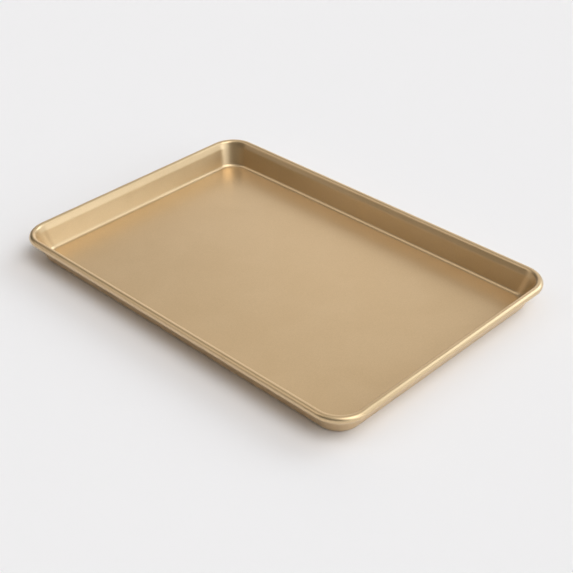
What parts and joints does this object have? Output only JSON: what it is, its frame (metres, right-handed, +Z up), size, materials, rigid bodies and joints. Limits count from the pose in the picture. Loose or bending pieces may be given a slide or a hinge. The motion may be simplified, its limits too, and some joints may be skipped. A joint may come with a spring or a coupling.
{
  "type": "jelly roll pan",
  "caption": "Shallow rectangular baking tray with a flat floor, flared walls, rounded corners and a rim rolled round a steel wire, for baking a thin sheet of sponge.",
  "frame": {"origin": "middle of the floor's underside, where the pan rests", "axes": "+X along the long side, +Y along the short side, +Z up out of the open top"},
  "size_m": [0.407, 0.278, 0.0258],
  "materials": {
    "gold_coating": "satin champagne-gold non-stick coating on steel sheet",
    "steel_wire": "drawn steel rod"
  },
  "bodies": {
    "root": {"pan_shell": "gold_coating", "rim_wire": "steel_wire"}
  },
  "joints": []
}
